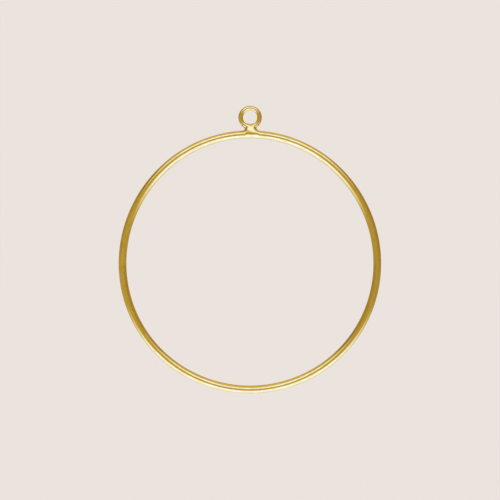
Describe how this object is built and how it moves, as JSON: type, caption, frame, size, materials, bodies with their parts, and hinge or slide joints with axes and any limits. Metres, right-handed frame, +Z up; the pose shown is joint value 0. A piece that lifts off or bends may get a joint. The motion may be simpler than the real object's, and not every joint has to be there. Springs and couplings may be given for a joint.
{
  "type": "wire hoop wreath frame",
  "caption": "Small round wreath frame: a bent wire hoop with a soldered ring on top, which it hangs from.",
  "frame": {"origin": "centre of the hanging ring", "axes": "+Z up, from the hoop through the hanging ring; +Y along the ring's hole, square to the hoop's plane; +X across the hoop"},
  "size_m": [0.1016, 0.003, 0.1114],
  "materials": {
    "plated_wire": "gold-coloured plating on drawn round wire, polished bright, with fine draw lines",
    "plated_solder": "gold-coloured plating on solder, bright and a little uneven"
  },
  "bodies": {
    "root": {"hoop_wire": "plated_wire", "hoop_joint_solder": "plated_solder", "hanging_ring": "plated_wire", "ring_joint_solder": "plated_solder", "ring_to_hoop_solder": "plated_solder"}
  },
  "joints": []
}
